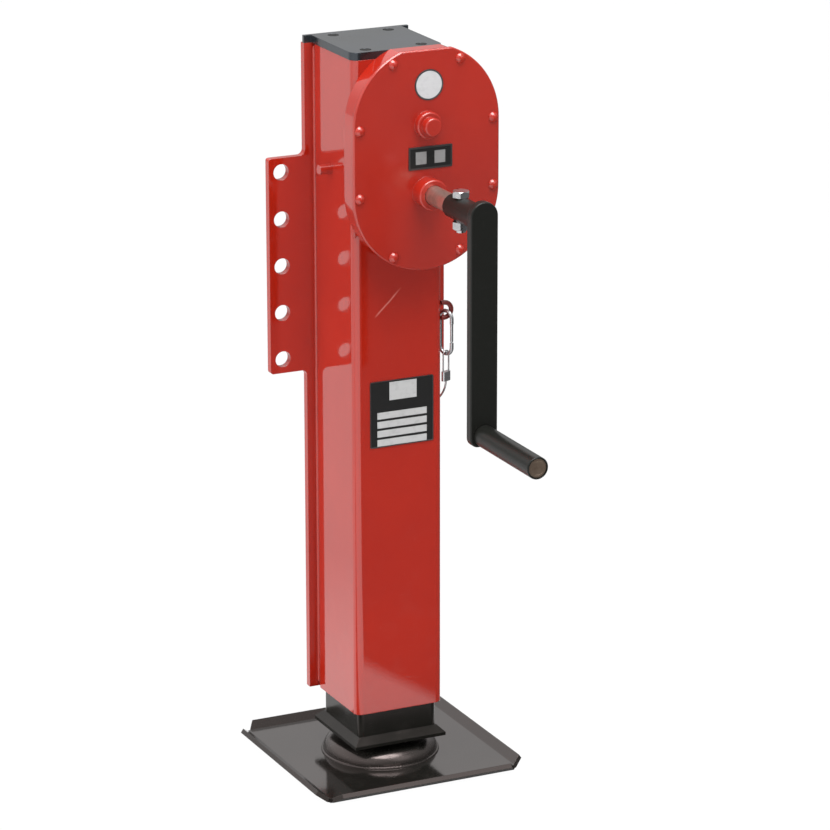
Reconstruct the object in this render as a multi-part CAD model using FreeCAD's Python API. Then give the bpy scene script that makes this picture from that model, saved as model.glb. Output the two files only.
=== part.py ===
import FreeCAD, Part
import math
import os

# Screw support leg: a square outer tube bolted to a vehicle by its back plate, a geared hand crank on the front,
# and an inner tube that a vertical spindle drives out downwards, with a tilting foot below.
# Frame: millimetres, +Z up, -Y is the crank side, origin on the ground under the tube's axis, leg retracted.

# Foot
FOOT_W = 214.0
FOOT_T = 5.0
LIP_LEN = 12.0
LIP_ANGLE = 35.0
FOOT_TILT = 6.0
LIP_END_CUT = 10.0
LIP_SHORT = 2.0
BALL_R = 11.0
BALL_FIT = 0.1
CUP_T = 2.5
LIP_OVER_BALL = 1.6
SOCKET_FLOOR = 0.4
SOCKET_R = 61.0
SOCKET_WALL = 1.5
SOCKET_KNUCKLE = 14.0
SOCKET_TOP = 20.0
NECK_R = 7.0

# Leg and its tubes
FLANGE_Z = 29.0
FLANGE_W = 105.0
FLANGE_EDGE = 3.5
FLANGE_RISE = 7.5
INNER_W = 90.0
INNER_WALL = 5.0
INNER_R = 6.0
LEG_HEADROOM = 14.0
FLANGE_SPIGOT = 14.0
SLIDE_GAP = 0.5
OUTER_W = 100.0
OUTER_R = 8.0
OUTER_Z = 67.0
OUTER_LEN = 701.0
STROKE = 350.0

# Mounting plate at the back
BACK_T = 8.0
BACK_PROUD = 9.0
EAR_W = 200.0
EAR_EDGE = 15.0
EAR_DROP = 232.5
EAR_FILLET = 6.0
EAR_CORNER = 3.0
HOLE_D = 17.0
HOLE_PITCH = 50.0
HOLE_ROWS = 5
HOLE_X = 86.0

# Lid
LID_T = 8.0
LID_OVER = 1.0
LID_BACK = 4.0
LID_R = 9.0
LID_SCREW_X = 31.0
LID_SCREW_Y = 39.0
LID_SCREW_D = 6.0
LID_HEAD_D = 11.0
LID_HEAD_T = 2.2
LUG_W = 16.0
LUG_H = 12.0
LUG_EDGE = 6.0

# Gear housing and cover
GEAR_X = 19.0
CRANK_DROP = 136.0
CASE_R = 79.5
CASE_WALL = 5.0
CASE_BACK = 3.0
CASE_DEPTH = 23.0
CASE_TOP = 74.5
COVER_OVER = 2.0
COVER_T = 4.0
COVER_EDGE = 1.2
SCREW_RING = 74.5
SCREW_ANGLES = (0.0, 60.0)
SCREW_D = 6.0
SCREW_HEAD_D = 11.0
SCREW_HEAD_T = 4.0
SCREW_BOSS_D = 14.0
CRANK_BOSS_D = 32.0
CRANK_BOSS_H = 17.0
TOP_BOSS_D = 28.0
TOP_BOSS_H = 8.0
TOP_STUB_D = 19.0
TOP_STUB_H = 9.0
BOSS_EDGE = 2.0

# Spur gears: crank pinion, second gear, second pinion, last gear
FRONT_MODULE = 2.0
CRANK_TEETH = 20
SECOND_TEETH = 50
REAR_MODULE = 1.6
STEP_TEETH = 15
LAST_TEETH = 30
FACE_W = 8.0
BACKLASH = 0.30
ADDENDUM = 0.85
DEDENDUM = 1.20
PRESSURE = 20.0
GEAR_GAP = 1.0
WEB_HOLES = 6
WEB_HOLE_D = 18.0
WEB_RING = 32.0

# Bevel gears
BEVEL_MODULE = 2.5
BEVEL_TEETH = 15
WHEEL_TEETH = 24
BEVEL_FACE = 9.0
BEVEL_BACKLASH = 0.50
BEVEL_HUB_D = 26.0
WHEEL_HUB_D = 34.0
WHEEL_DEPTH = 16.0

# Shafts and bearings
FIT = 0.05
SEAT = 0.02
RUN = 0.3
CRANK_SHAFT_D = 20.0
SECOND_SHAFT_D = 14.0
SECOND_NOSE_D = 12.0
BEVEL_SHAFT_D = 14.0
BUSH_WALL = 3.0
BOSS_WALL = 3.0
SLEEVE_WALL = 5.0
SLEEVE_FLANGE_D = 34.0
SLEEVE_FLANGE_T = 4.0
SPINDLE_D = 36.0
SPINDLE_TAIL = 12.0
JOURNAL_D = 22.0
COLLAR_D = 48.0
COLLAR_T = 8.0
RACE_T = 4.0
RACE_D = 48.0
BALL_D = 6.0
BALL_PLAY = 0.05
BALL_RING = 19.0
BALL_COUNT = 12
BLOCK_T = 18.0
BLOCK_DROP = 132.0
BLOCK_PLAY = 0.2
PIN_D = 11.0
PIN_Y = 7.0
PIN_STUB = 13.0
PIN_IN = 22.0
NUT_H = 38.0
NUT_D = 62.0
NUT_BOARD_T = 12.0
LOCK_NUT_AF = 27.0
LOCK_NUT_T = 8.0

# Crank
CRANK_R = 221.5
HUB_Y = -138.0
HUB_L = 60.0
HUB_D = 25.0
HUB_FLOOR = 8.0
ARM_W = 30.0
ARM_RISE = 4.0
ARM_TAIL = 11.5
ARM_CORNER = 9.0
ARM_T = 10.0
ARM_EDGE = 1.5
BOLT_Y = -155.0
BOLT_D = 10.0
BOLT_AF = 16.0
BOLT_HEAD_T = 6.5
BOLT_NUT_T = 8.0
BOLT_TAIL = 3.0
GRIP_PIN_D = 14.0
GRIP_D = 23.0
GRIP_L = 117.5
GRIP_FIT = 0.1
GRIP_EDGE = 1.2
CLIP_D = 19.2
CLIP_T = 1.5
CLIP_DEEP = 1.0
PIN_NOSE = 1.0

# Snap hook, its eye and lanyard
EYE_WIRE = 5.0
EYE_DROP = 280.0
EYE_SPAN = 16.0
EYE_OUT = 3.5
EYE_Y = -46.0
HOOK_X = 55.6
HOOK_TURN = 22.0
HOOK_WIRE = 4.0
HOOK_W = 16.0
HOOK_H = 50.0
GATE_D = 3.2
GATE_LOW = 13.0
GATE_HIGH = 33.0
GATE_GAP = 0.4
LOOP_WIRE = 1.6
LOOP_R = 4.2
LOOP_DROP = 18.0
FERRULE_W = 11.0
FERRULE_T = 5.0
FERRULE_L = 10.0
LANYARD_D = 2.0
LANYARD_RUN = 8.0
ANCHOR_RUN = 14.0
ANCHOR_Y = -6.0
ANCHOR_DROP = 96.0
ANCHOR_W = 12.0
ANCHOR_H = 10.0
HOOK_PLAY = 2.0
LOOP_PLAY = 0.4
ANCHOR_EDGE = 1.5

# Places that follow from the sizes above
UP = FreeCAD.Vector(0, 0, 1)
FRONT = FreeCAD.Vector(0, -1, 0)
RIGHT = FreeCAD.Vector(1, 0, 0)
HALF = OUTER_W / 2
BORE_W = INNER_W + 2 * SLIDE_GAP
OUTER_WALL = (OUTER_W - BORE_W) / 2
OUTER_TOP = OUTER_Z + OUTER_LEN
CRANK_Z = OUTER_TOP - CRANK_DROP
BLOCK_Z = OUTER_TOP - BLOCK_DROP
EAR_Z = OUTER_TOP - EAR_DROP
EAR_H = (HOLE_ROWS - 1) * HOLE_PITCH + 2 * EAR_EDGE
EYE_LOW = OUTER_TOP - EYE_DROP
ANCHOR_Z = EYE_LOW - ANCHOR_DROP
CUP_R = BALL_R + BALL_FIT + CUP_T
CAVITY_R = CUP_R + BALL_FIT
BALL_Z = FOOT_T + SOCKET_FLOOR + CAVITY_R
CUP_TOP = LIP_OVER_BALL - RUN - CUP_R * math.sin(math.radians(FOOT_TILT))
INNER_Z = FLANGE_Z + FLANGE_EDGE + FLANGE_RISE
CASE_Y = -HALF - CASE_DEPTH
COVER_Y = CASE_Y - COVER_T
CENTRES_1 = FRONT_MODULE * (CRANK_TEETH + SECOND_TEETH) / 2
SECOND_Z = CRANK_Z + CENTRES_1
CENTRES_2 = REAR_MODULE * (STEP_TEETH + LAST_TEETH) / 2
BEVEL_Z = SECOND_Z + math.sqrt(CENTRES_2 ** 2 - GEAR_X ** 2)
STEP_ANGLE = math.degrees(math.atan2(BEVEL_Z - SECOND_Z, -GEAR_X))
FRONT_GEAR_Y = CASE_Y + GEAR_GAP
REAR_GEAR_Y = FRONT_GEAR_Y + FACE_W + GEAR_GAP
WALL_IN_Y = -HALF + OUTER_WALL
BEVEL_R = BEVEL_MODULE * BEVEL_TEETH / 2
WHEEL_R = BEVEL_MODULE * WHEEL_TEETH / 2
WHEEL_Z = BEVEL_Z - BEVEL_R
BLOCK_TOP = BLOCK_Z + BLOCK_T
RACE_Z = BLOCK_Z - RACE_T
LOW_RACE_Z = RACE_Z - BALL_D - RACE_T
COLLAR_Z = LOW_RACE_Z - COLLAR_T
INNER_TOP = COLLAR_Z - LEG_HEADROOM
SPINDLE_LOW = INNER_TOP - NUT_H - STROKE - SPINDLE_TAIL
ARM_Y = HUB_Y - HUB_L
HANDLE_Z = CRANK_Z - CRANK_R
GRIP_Y = ARM_Y - ARM_T - RUN


def vec(x, y, z):
    return FreeCAD.Vector(x, y, z)


def box(x0, x1, y0, y1, z0, z1):
    return Part.makeBox(x1 - x0, y1 - y0, z1 - z0, vec(x0, y0, z0))


def rod(base, axis, diameter, length):
    return Part.makeCylinder(diameter / 2, length, base, axis)


def ring(base, axis, outer, inner, length):
    return rod(base, axis, outer, length).cut(rod(base, axis, inner, length))


def rounded(block, axis, radius):
    """Fillet the edges of a block that run along an axis."""
    edges = []
    for edge in block.Edges:
        ends = edge.Vertexes
        run = ends[-1].Point - ends[0].Point
        if run.Length > 0 and run.normalize().cross(axis).Length < 1e-6:
            edges.append(edge)
    return block.makeFillet(radius, edges)


def square_bar(width, radius, low, high):
    half = width / 2
    return rounded(box(-half, half, -half, half, low, high), UP, radius)


def hexagon(base, axis, flats, height):
    """Hexagonal prism with a bevelled outer end, its corners turned off."""
    corner = flats / math.sqrt(3)
    points = [vec(corner * math.cos(math.radians(60 * i)), corner * math.sin(math.radians(60 * i)), 0)
              for i in range(7)]
    prism = Part.Face(Part.makePolygon(points)).extrude(vec(0, 0, height))
    slope = corner - flats / 2
    turned = Part.makeCone(corner + height - slope, flats / 2, height, vec(0, 0, 0), UP)
    prism = prism.common(turned)
    prism.Placement = FreeCAD.Placement(base, FreeCAD.Rotation(UP, axis))
    return prism


def dome_screw(base, axis, shank_d, shank_l, head_d, head_t):
    """Round-headed screw: base is the seat, and the head stands out along the axis."""
    head = Part.makeSphere((head_d ** 2 / 4 + head_t ** 2) / (2 * head_t))
    drop = head_t - (head_d ** 2 / 4 + head_t ** 2) / (2 * head_t)
    head.translate(vec(0, 0, drop))
    cap = head.common(rod(vec(0, 0, 0), UP, head_d * 2, head_t * 2))
    cap = cap.fuse(rod(vec(0, 0, -shank_l), UP, shank_d, shank_l)).removeSplitter()
    cap.Placement = FreeCAD.Placement(base, FreeCAD.Rotation(UP, axis))
    return cap


def bent_path(points):
    """Straight runs joined by tangent arcs, each as large as its two runs allow."""
    edges, start = [], points[0]
    for before, corner, after in zip(points, points[1:], points[2:]):
        way_in = (corner - before).normalize()
        way_out = (after - corner).normalize()
        half_turn = way_in.getAngle(way_out) / 2
        reach = 0.45 * min((corner - before).Length, (after - corner).Length)
        radius = reach / math.tan(half_turn)
        first = corner - way_in * reach
        last = corner + way_out * reach
        inward = (way_out - way_in).normalize()
        middle = corner + inward * (radius / math.cos(half_turn) - radius)
        edges += [Part.LineSegment(start, first).toShape(), Part.Arc(first, middle, last).toShape()]
        start = last
    edges.append(Part.LineSegment(start, points[-1]).toShape())
    return Part.Wire(edges)


def wire_solid(path, diameter):
    """Round wire along a path."""
    start = path.Edges[0]
    point = start.valueAt(start.FirstParameter)
    way = start.tangentAt(start.FirstParameter)
    section = Part.Wire(Part.makeCircle(diameter / 2, point, way))
    return path.makePipeShell([section], True, False)


def involute(angle):
    return math.tan(angle) - angle


def half_tooth(radius, pitch_r, module, play):
    """Half the tooth's angle at a radius, on an involute flank thinned by its backlash."""
    base_r = pitch_r * math.cos(math.radians(PRESSURE))
    at_pitch = (math.pi * module / 2 - play) / (2 * pitch_r)
    roll = math.acos(base_r / max(radius, base_r))
    return at_pitch + involute(math.radians(PRESSURE)) - involute(roll)


def flank_radii(pitch_r, module):
    base_r = pitch_r * math.cos(math.radians(PRESSURE))
    root, tip = pitch_r - DEDENDUM * module, pitch_r + ADDENDUM * module
    low = max(base_r, root + 0.2 * module)
    return [root, low, (low + tip) / 2, tip]


def spur_gear(module, teeth, phase, x, z, y, bore):
    """Spur gear on an axis along Y, with a tooth centred at the phase angle, from y back by the face width."""
    pitch_r = module * teeth / 2
    radii = flank_radii(pitch_r, module)
    points = []
    for tooth in range(teeth):
        middle = math.radians(phase) + 2 * math.pi * tooth / teeth
        flank = [(r, half_tooth(r, pitch_r, module, BACKLASH)) for r in radii]
        outline = [(r, middle - a) for r, a in flank] + [(r, middle + a) for r, a in reversed(flank)]
        points += [vec(x + r * math.cos(a), y, z + r * math.sin(a)) for r, a in outline]
    wheel = Part.Face(Part.makePolygon(points + points[:1])).extrude(vec(0, FACE_W, 0))
    return wheel.cut(rod(vec(x, y, z), -FRONT, bore + 2 * SEAT, FACE_W))


def bevel_gear(teeth, mate, phase, hub_d, back, bore):
    """Straight bevel gear, apex at the origin, teeth facing +Z, its hub's back at a height, a tooth at the phase."""
    pitch_r, drop = BEVEL_MODULE * teeth / 2, BEVEL_MODULE * mate / 2
    cone = math.hypot(pitch_r, drop)
    toe = (cone - BEVEL_FACE) / cone
    virtual_r = pitch_r * cone / drop
    outward = vec(drop / cone, 0, pitch_r / cone)
    heel = vec(pitch_r, 0, -drop)
    deep = DEDENDUM * BEVEL_MODULE
    flank = []
    for r in flank_radii(virtual_r, BEVEL_MODULE):
        flank.append((r - virtual_r, r * half_tooth(r, virtual_r, BEVEL_MODULE, BEVEL_BACKLASH)))
    sunk = flank[0][0] - 0.25 * BEVEL_MODULE
    flank[0] = (sunk, flank[1][1])
    outline = [heel + outward * h + vec(0, -t, 0) for h, t in flank]
    outline += [heel + outward * h + vec(0, t, 0) for h, t in reversed(flank)]
    big = Part.makePolygon(outline + outline[:1])
    small = Part.makePolygon([p * toe for p in outline + outline[:1]])
    tooth = Part.makeLoft([big, small], True, True)
    root = heel - outward * deep
    rim = root.z - 0.8 * BEVEL_MODULE
    profile = [vec(0, 0, root.z * toe), vec(root.x * toe, 0, root.z * toe), root, vec(root.x, 0, rim),
               vec(hub_d / 2, 0, rim), vec(hub_d / 2, 0, back), vec(0, 0, back)]
    body = Part.Face(Part.makePolygon(profile + profile[:1])).revolve(vec(0, 0, 0), UP, 360)
    copies = []
    for i in range(teeth):
        copy = tooth.copy()
        copy.rotate(vec(0, 0, 0), UP, phase + 360.0 * i / teeth)
        copies.append(copy)
    gear = body.multiFuse(copies)
    span = abs(back) + cone
    return gear.cut(rod(vec(0, 0, -span), UP, bore + 2 * SEAT, 2 * span))


def case_outline(radius, top):
    """Outline of the gear case in XZ: two arcs about the two shafts, with the upper one cut off flat."""
    side = math.sqrt(radius ** 2 - top ** 2)
    left, right = GEAR_X - radius, GEAR_X + radius
    z_top = SECOND_Z + top
    low = Part.Arc(vec(left, 0, CRANK_Z), vec(GEAR_X, 0, CRANK_Z - radius), vec(right, 0, CRANK_Z))
    slant = radius * math.sqrt(0.5)
    curve_r = Part.Arc(vec(right, 0, SECOND_Z), vec(GEAR_X + slant, 0, SECOND_Z + slant),
                       vec(GEAR_X + side, 0, z_top))
    curve_l = Part.Arc(vec(GEAR_X - side, 0, z_top), vec(GEAR_X - slant, 0, SECOND_Z + slant),
                       vec(left, 0, SECOND_Z))
    lines = [Part.LineSegment(vec(right, 0, CRANK_Z), vec(right, 0, SECOND_Z)),
             Part.LineSegment(vec(GEAR_X + side, 0, z_top), vec(GEAR_X - side, 0, z_top)),
             Part.LineSegment(vec(left, 0, SECOND_Z), vec(left, 0, CRANK_Z))]
    shapes = [low, lines[0], curve_r, lines[1], curve_l, lines[2]]
    return Part.Face(Part.Wire([s.toShape() for s in shapes]))


def case_slab(radius, top, front, back):
    slab = case_outline(radius, top).extrude(vec(0, back - front, 0))
    slab.translate(vec(0, front, 0))
    return slab


def screw_places():
    """The cover's screws: on the upper arc, and mirrored on the lower one."""
    places = []
    for angle in SCREW_ANGLES:
        dx = SCREW_RING * math.cos(math.radians(angle))
        dz = SCREW_RING * math.sin(math.radians(angle))
        for side in (-1, 1):
            places.append((GEAR_X + side * dx, SECOND_Z + dz))
            places.append((GEAR_X + side * dx, CRANK_Z - dz))
    return places


def make_foot():
    """Foot plate with four turned-up lips, the round socket on it, and the ball's cup."""
    half = FOOT_W / 2
    plate = box(-half, half, -half, half, 0, FOOT_T)
    lean = math.radians(LIP_ANGLE)
    along, thick = vec(-math.cos(lean), 0, math.sin(lean)), FOOT_T
    inner = vec(-half, 0, FOOT_T)
    across = vec(math.sin(lean), 0, math.cos(lean))
    outer = inner - across * thick
    section = [inner, inner + along * LIP_LEN, outer + along * LIP_LEN, outer]
    bend = [inner, outer, vec(-half, 0, 0)]
    lips = []
    for quarter in range(4):
        length = FOOT_W - 2 * LIP_SHORT
        lip = Part.Face(Part.makePolygon(section + section[:1])).extrude(vec(0, length, 0))
        lip.translate(vec(0, -length / 2, 0))
        corner = Part.Face(Part.makePolygon(bend + bend[:1])).extrude(vec(0, length, 0))
        corner.translate(vec(0, -length / 2, 0))
        for end in (-1, 1):
            root = vec(-half, end * length / 2, FOOT_T)
            far = root + along * (LIP_LEN + thick)
            cut = [root, far, far - vec(0, end * LIP_END_CUT, 0)]
            wedge = Part.Face(Part.makePolygon(cut + cut[:1])).extrude(across * (-2 * thick))
            wedge.translate(across * (thick / 2))
            lip = lip.cut(wedge)
        lip = lip.fuse(corner)
        lip.rotate(vec(0, 0, 0), UP, 90 * quarter)
        lips.append(lip)
    plate = plate.multiFuse(lips).removeSplitter()

    centre = vec(0, 0, BALL_Z)
    wall_top, dome_top = FOOT_T + SOCKET_WALL, FOOT_T + SOCKET_TOP
    turn_r, rise = SOCKET_R - SOCKET_KNUCKLE, SOCKET_TOP - SOCKET_WALL
    crown_r = (turn_r ** 2 + rise ** 2 - SOCKET_KNUCKLE ** 2) / (2 * (rise - SOCKET_KNUCKLE))
    slope = math.asin(turn_r / (crown_r - SOCKET_KNUCKLE))

    def on_knuckle(angle):
        return vec(turn_r + SOCKET_KNUCKLE * math.sin(angle), 0, wall_top + SOCKET_KNUCKLE * math.cos(angle))

    def on_crown(angle):
        return vec(crown_r * math.sin(angle), 0, dome_top - crown_r + crown_r * math.cos(angle))

    corner, middle = vec(SOCKET_R, 0, wall_top), on_knuckle((slope + math.pi / 2) / 2)
    sides = [Part.LineSegment(vec(SOCKET_R, 0, FOOT_T), corner), Part.Arc(corner, middle, on_knuckle(slope)),
             Part.Arc(on_crown(slope), on_crown(slope / 2), on_crown(0)),
             Part.LineSegment(on_crown(0), vec(0, 0, FOOT_T)),
             Part.LineSegment(vec(0, 0, FOOT_T), vec(SOCKET_R, 0, FOOT_T))]
    outline = Part.Wire([side.toShape() for side in sides])
    socket = Part.Face(outline).revolve(vec(0, 0, 0), UP, 360)
    hollow = Part.makeSphere(CAVITY_R, centre)
    hollow = hollow.common(rod(vec(0, 0, 0), UP, 4 * CAVITY_R, BALL_Z + LIP_OVER_BALL))
    mouth = Part.makeSphere(BALL_R + RUN, centre)
    socket = socket.cut(hollow).cut(mouth)

    cup = Part.makeSphere(CUP_R, centre).cut(Part.makeSphere(BALL_R + BALL_FIT, centre))
    cup = cup.common(rod(vec(0, 0, 0), UP, 4 * CUP_R, BALL_Z + CUP_TOP))
    return {"foot_plate": plate, "foot_socket": socket, "ball_cup": cup}


def make_leg():
    """Inner tube with its flange and ball stud below and the lifting nut in its head."""
    tube = square_bar(INNER_W, INNER_R, INNER_Z, INNER_TOP)
    bore = INNER_W - 2 * INNER_WALL
    tube = tube.cut(square_bar(bore, max(INNER_R - INNER_WALL, 1.0), INNER_Z, INNER_TOP))

    low, high, skirt = FLANGE_W / 2, INNER_W / 2, FLANGE_Z + FLANGE_EDGE
    def square_at(half, z):
        return Part.makePolygon([vec(-half, -half, z), vec(half, -half, z), vec(half, half, z),
                                 vec(-half, half, z), vec(-half, -half, z)])
    slope = Part.makeLoft([square_at(low, skirt), square_at(high, INNER_Z)], True, True)
    flange = box(-low, low, -low, low, FLANGE_Z, skirt).fuse(slope)
    spigot_w = bore - 2 * SEAT
    spigot = square_bar(spigot_w, max(INNER_R - INNER_WALL, 1.0), INNER_Z, INNER_Z + FLANGE_SPIGOT)
    flange = flange.fuse(spigot).removeSplitter()
    neck = rod(vec(0, 0, BALL_Z), UP, 2 * NECK_R, INNER_Z - BALL_Z)
    flange = flange.cut(rod(vec(0, 0, FLANGE_Z), UP, 2 * NECK_R + 2 * SEAT, INNER_Z - FLANGE_Z))
    stud = Part.makeSphere(BALL_R, vec(0, 0, BALL_Z)).fuse(neck)
    stud = stud.removeSplitter()

    board_z = INNER_TOP - NUT_BOARD_T
    board = square_bar(spigot_w, max(INNER_R - INNER_WALL, 1.0), board_z, INNER_TOP)
    barrel = rod(vec(0, 0, INNER_TOP - NUT_H), UP, NUT_D, NUT_H - NUT_BOARD_T)
    nut = board.fuse(barrel).cut(rod(vec(0, 0, INNER_TOP - NUT_H), UP, SPINDLE_D + 2 * FIT, NUT_H))
    return {"inner_tube": tube, "leg_flange": flange, "ball_stud": stud, "lifting_nut": nut.removeSplitter()}


def make_tube():
    """Outer tube with the holes for the drive, and the lugs that take the lid's screws."""
    bore = square_bar(BORE_W, max(OUTER_R - OUTER_WALL, 1.0), OUTER_Z, OUTER_TOP)
    tube = square_bar(OUTER_W, OUTER_R, OUTER_Z, OUTER_TOP).cut(bore)
    for z, x, d in ((CRANK_Z, GEAR_X, CRANK_SHAFT_D + 2 * BUSH_WALL), (SECOND_Z, GEAR_X, SECOND_SHAFT_D + 2 * BUSH_WALL),
                    (BEVEL_Z, 0, BEVEL_SHAFT_D + 2 * SLEEVE_WALL)):
        tube = tube.cut(rod(vec(x, -HALF, z), -FRONT, d, OUTER_WALL))
    for side in (-1, 1):
        tube = tube.cut(rod(vec(side * HALF, PIN_Y, BLOCK_Z + BLOCK_T / 2), RIGHT * -side, PIN_D + 2 * SEAT, OUTER_WALL))
    lugs = []
    for sx in (-1, 1):
        for sy in (-1, 1):
            wall = BORE_W / 2
            edge = LID_SCREW_Y - LUG_EDGE
            y0, y1 = sorted((sy * edge, sy * wall))
            x = sx * LID_SCREW_X
            lug = box(x - LUG_W / 2, x + LUG_W / 2, y0, y1, OUTER_TOP - LUG_H, OUTER_TOP)
            lugs.append(lug.cut(rod(vec(x, sy * LID_SCREW_Y, OUTER_TOP - LUG_H), UP, LID_SCREW_D + 2 * SEAT, LUG_H)))
    return tube.multiFuse(lugs).removeSplitter()


def make_mounting_plate():
    """Back plate as long as the tube, widened into two drilled ears."""
    strip = HALF + BACK_PROUD
    ear, low, high = EAR_W / 2, EAR_Z - EAR_H / 2, EAR_Z + EAR_H / 2
    y0, y1 = HALF, HALF + BACK_T
    plate = box(-strip, strip, y0, y1, OUTER_Z, OUTER_TOP)
    ears = rounded(box(-ear, ear, y0, y1, low, high), FRONT, EAR_CORNER)
    plate = plate.fuse(ears).removeSplitter()
    inner = [e for e in plate.Edges if abs(abs(e.CenterOfMass.x) - strip) < 1e-6
             and abs(e.BoundBox.YLength - BACK_T) < 1e-6 and low - 1e-6 <= e.CenterOfMass.z <= high + 1e-6]
    plate = plate.makeFillet(EAR_FILLET, inner)
    for side in (-1, 1):
        for row in range(HOLE_ROWS):
            z = EAR_Z + HOLE_PITCH * (row - (HOLE_ROWS - 1) / 2)
            plate = plate.cut(rod(vec(side * HOLE_X, y0, z), -FRONT, HOLE_D, BACK_T))
    return plate


def make_lid():
    half = HALF + LID_OVER
    y1 = HALF + LID_BACK
    low, high = OUTER_TOP, OUTER_TOP + LID_T
    lid = rounded(box(-half, half, -HALF, y1 - LID_R, low, high), UP, LID_R)
    lid = lid.fuse(box(-half, half, 0, y1, low, high))
    strip = HALF + BACK_PROUD
    lid = lid.fuse(box(-strip, strip, HALF, y1, low, high)).removeSplitter()
    screws = []
    for sx in (-1, 1):
        for sy in (-1, 1):
            place = vec(sx * LID_SCREW_X, sy * LID_SCREW_Y, high - LID_HEAD_T)
            lid = lid.cut(rod(vec(place.x, place.y, low), UP, LID_SCREW_D + 2 * SEAT, LID_T))
            lid = lid.cut(rod(place, UP, LID_HEAD_D + 2 * RUN, LID_HEAD_T))
            head = rod(place, UP, LID_HEAD_D, LID_HEAD_T)
            length = LID_T - LID_HEAD_T + LUG_H - RUN
            screws.append(head.fuse(rod(place - UP * length, UP, LID_SCREW_D, length)).removeSplitter())
    return {"top_lid": lid, "lid_screws": Part.makeCompound(screws)}


def make_case():
    """Gear housing welded to the tube's front, with its cover, bosses, bushes and screws."""
    outer = case_slab(CASE_R, CASE_TOP, CASE_Y, -HALF)
    inside = case_slab(CASE_R - CASE_WALL, CASE_TOP - CASE_WALL, CASE_Y, -HALF - CASE_BACK)
    bosses = [rod(vec(x, CASE_Y, z), -FRONT, SCREW_BOSS_D, CASE_DEPTH) for x, z in screw_places()]
    case = outer.cut(inside).multiFuse([b.common(outer) for b in bosses]).removeSplitter()
    crank_hole = CRANK_SHAFT_D + 2 * BUSH_WALL
    second_hole = SECOND_SHAFT_D + 2 * BUSH_WALL
    for x, z, d in ((GEAR_X, CRANK_Z, crank_hole), (GEAR_X, SECOND_Z, second_hole),
                    (0, BEVEL_Z, BEVEL_SHAFT_D + 2 * SLEEVE_WALL)):
        case = case.cut(rod(vec(x, CASE_Y, z), -FRONT, d, CASE_DEPTH))

    cover = case_slab(CASE_R + COVER_OVER, CASE_TOP + COVER_OVER, COVER_Y, CASE_Y)
    rim = [e for e in cover.Edges if abs(e.BoundBox.YMax - COVER_Y) < 1e-6]
    cover = cover.makeChamfer(COVER_EDGE, rim)
    low_boss = rod(vec(GEAR_X, COVER_Y, CRANK_Z), FRONT, CRANK_BOSS_D, CRANK_BOSS_H)
    top_boss = rod(vec(GEAR_X, COVER_Y, SECOND_Z), FRONT, TOP_BOSS_D, TOP_BOSS_H)
    stub_y = COVER_Y - TOP_BOSS_H
    stub = rod(vec(GEAR_X, stub_y, SECOND_Z), FRONT, TOP_STUB_D, TOP_STUB_H)
    bosses = []
    for boss in (low_boss, top_boss, stub):
        end = [e for e in boss.Edges if abs(e.BoundBox.YMax - boss.BoundBox.YMin) < 1e-6]
        bosses.append(boss.makeFillet(BOSS_EDGE, end))
    cover = cover.multiFuse(bosses).removeSplitter()
    seat_deep = COVER_T + CRANK_BOSS_H - BOSS_WALL
    cover = cover.cut(rod(vec(GEAR_X, CASE_Y, CRANK_Z), FRONT, crank_hole, seat_deep))
    cover = cover.cut(rod(vec(GEAR_X, CASE_Y, CRANK_Z), FRONT, CRANK_SHAFT_D + 2 * RUN, COVER_T + CRANK_BOSS_H))
    nose_deep = COVER_T + TOP_BOSS_H
    cover = cover.cut(rod(vec(GEAR_X, CASE_Y, SECOND_Z), FRONT, SECOND_NOSE_D + 2 * FIT, nose_deep))

    screws = []
    for x, z in screw_places():
        cover = cover.cut(rod(vec(x, CASE_Y, z), FRONT, SCREW_D + 2 * SEAT, COVER_T))
        case = case.cut(rod(vec(x, CASE_Y, z), -FRONT, SCREW_D + 2 * SEAT, CASE_DEPTH - CASE_BACK))
        shank = COVER_T + CASE_DEPTH - CASE_BACK - RUN
        screws.append(dome_screw(vec(x, COVER_Y, z), FRONT, SCREW_D, shank, SCREW_HEAD_D, SCREW_HEAD_T))

    rear_l = CASE_BACK + OUTER_WALL
    front_l = COVER_T + CRANK_BOSS_H - BOSS_WALL
    bushes = [ring(vec(GEAR_X, WALL_IN_Y, CRANK_Z), FRONT, crank_hole - 2 * SEAT, CRANK_SHAFT_D + 2 * FIT, rear_l),
              ring(vec(GEAR_X, CASE_Y, CRANK_Z), FRONT, crank_hole - 2 * SEAT, CRANK_SHAFT_D + 2 * FIT, front_l),
              ring(vec(GEAR_X, WALL_IN_Y, SECOND_Z), FRONT, second_hole - 2 * SEAT, SECOND_SHAFT_D + 2 * FIT, rear_l)]
    bore = BEVEL_SHAFT_D + 2 * FIT
    barrel = BEVEL_SHAFT_D + 2 * SLEEVE_WALL - 2 * SEAT
    sleeve = ring(vec(0, WALL_IN_Y + SLEEVE_FLANGE_T, BEVEL_Z), FRONT, barrel, bore, rear_l + SLEEVE_FLANGE_T)
    sleeve = sleeve.fuse(ring(vec(0, WALL_IN_Y, BEVEL_Z), -FRONT, SLEEVE_FLANGE_D, bore, SLEEVE_FLANGE_T))
    return {"gear_housing": case, "gear_cover": cover, "cover_screws": Part.makeCompound(screws),
            "shaft_bushes": Part.makeCompound(bushes), "bevel_sleeve": sleeve.removeSplitter()}


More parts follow.
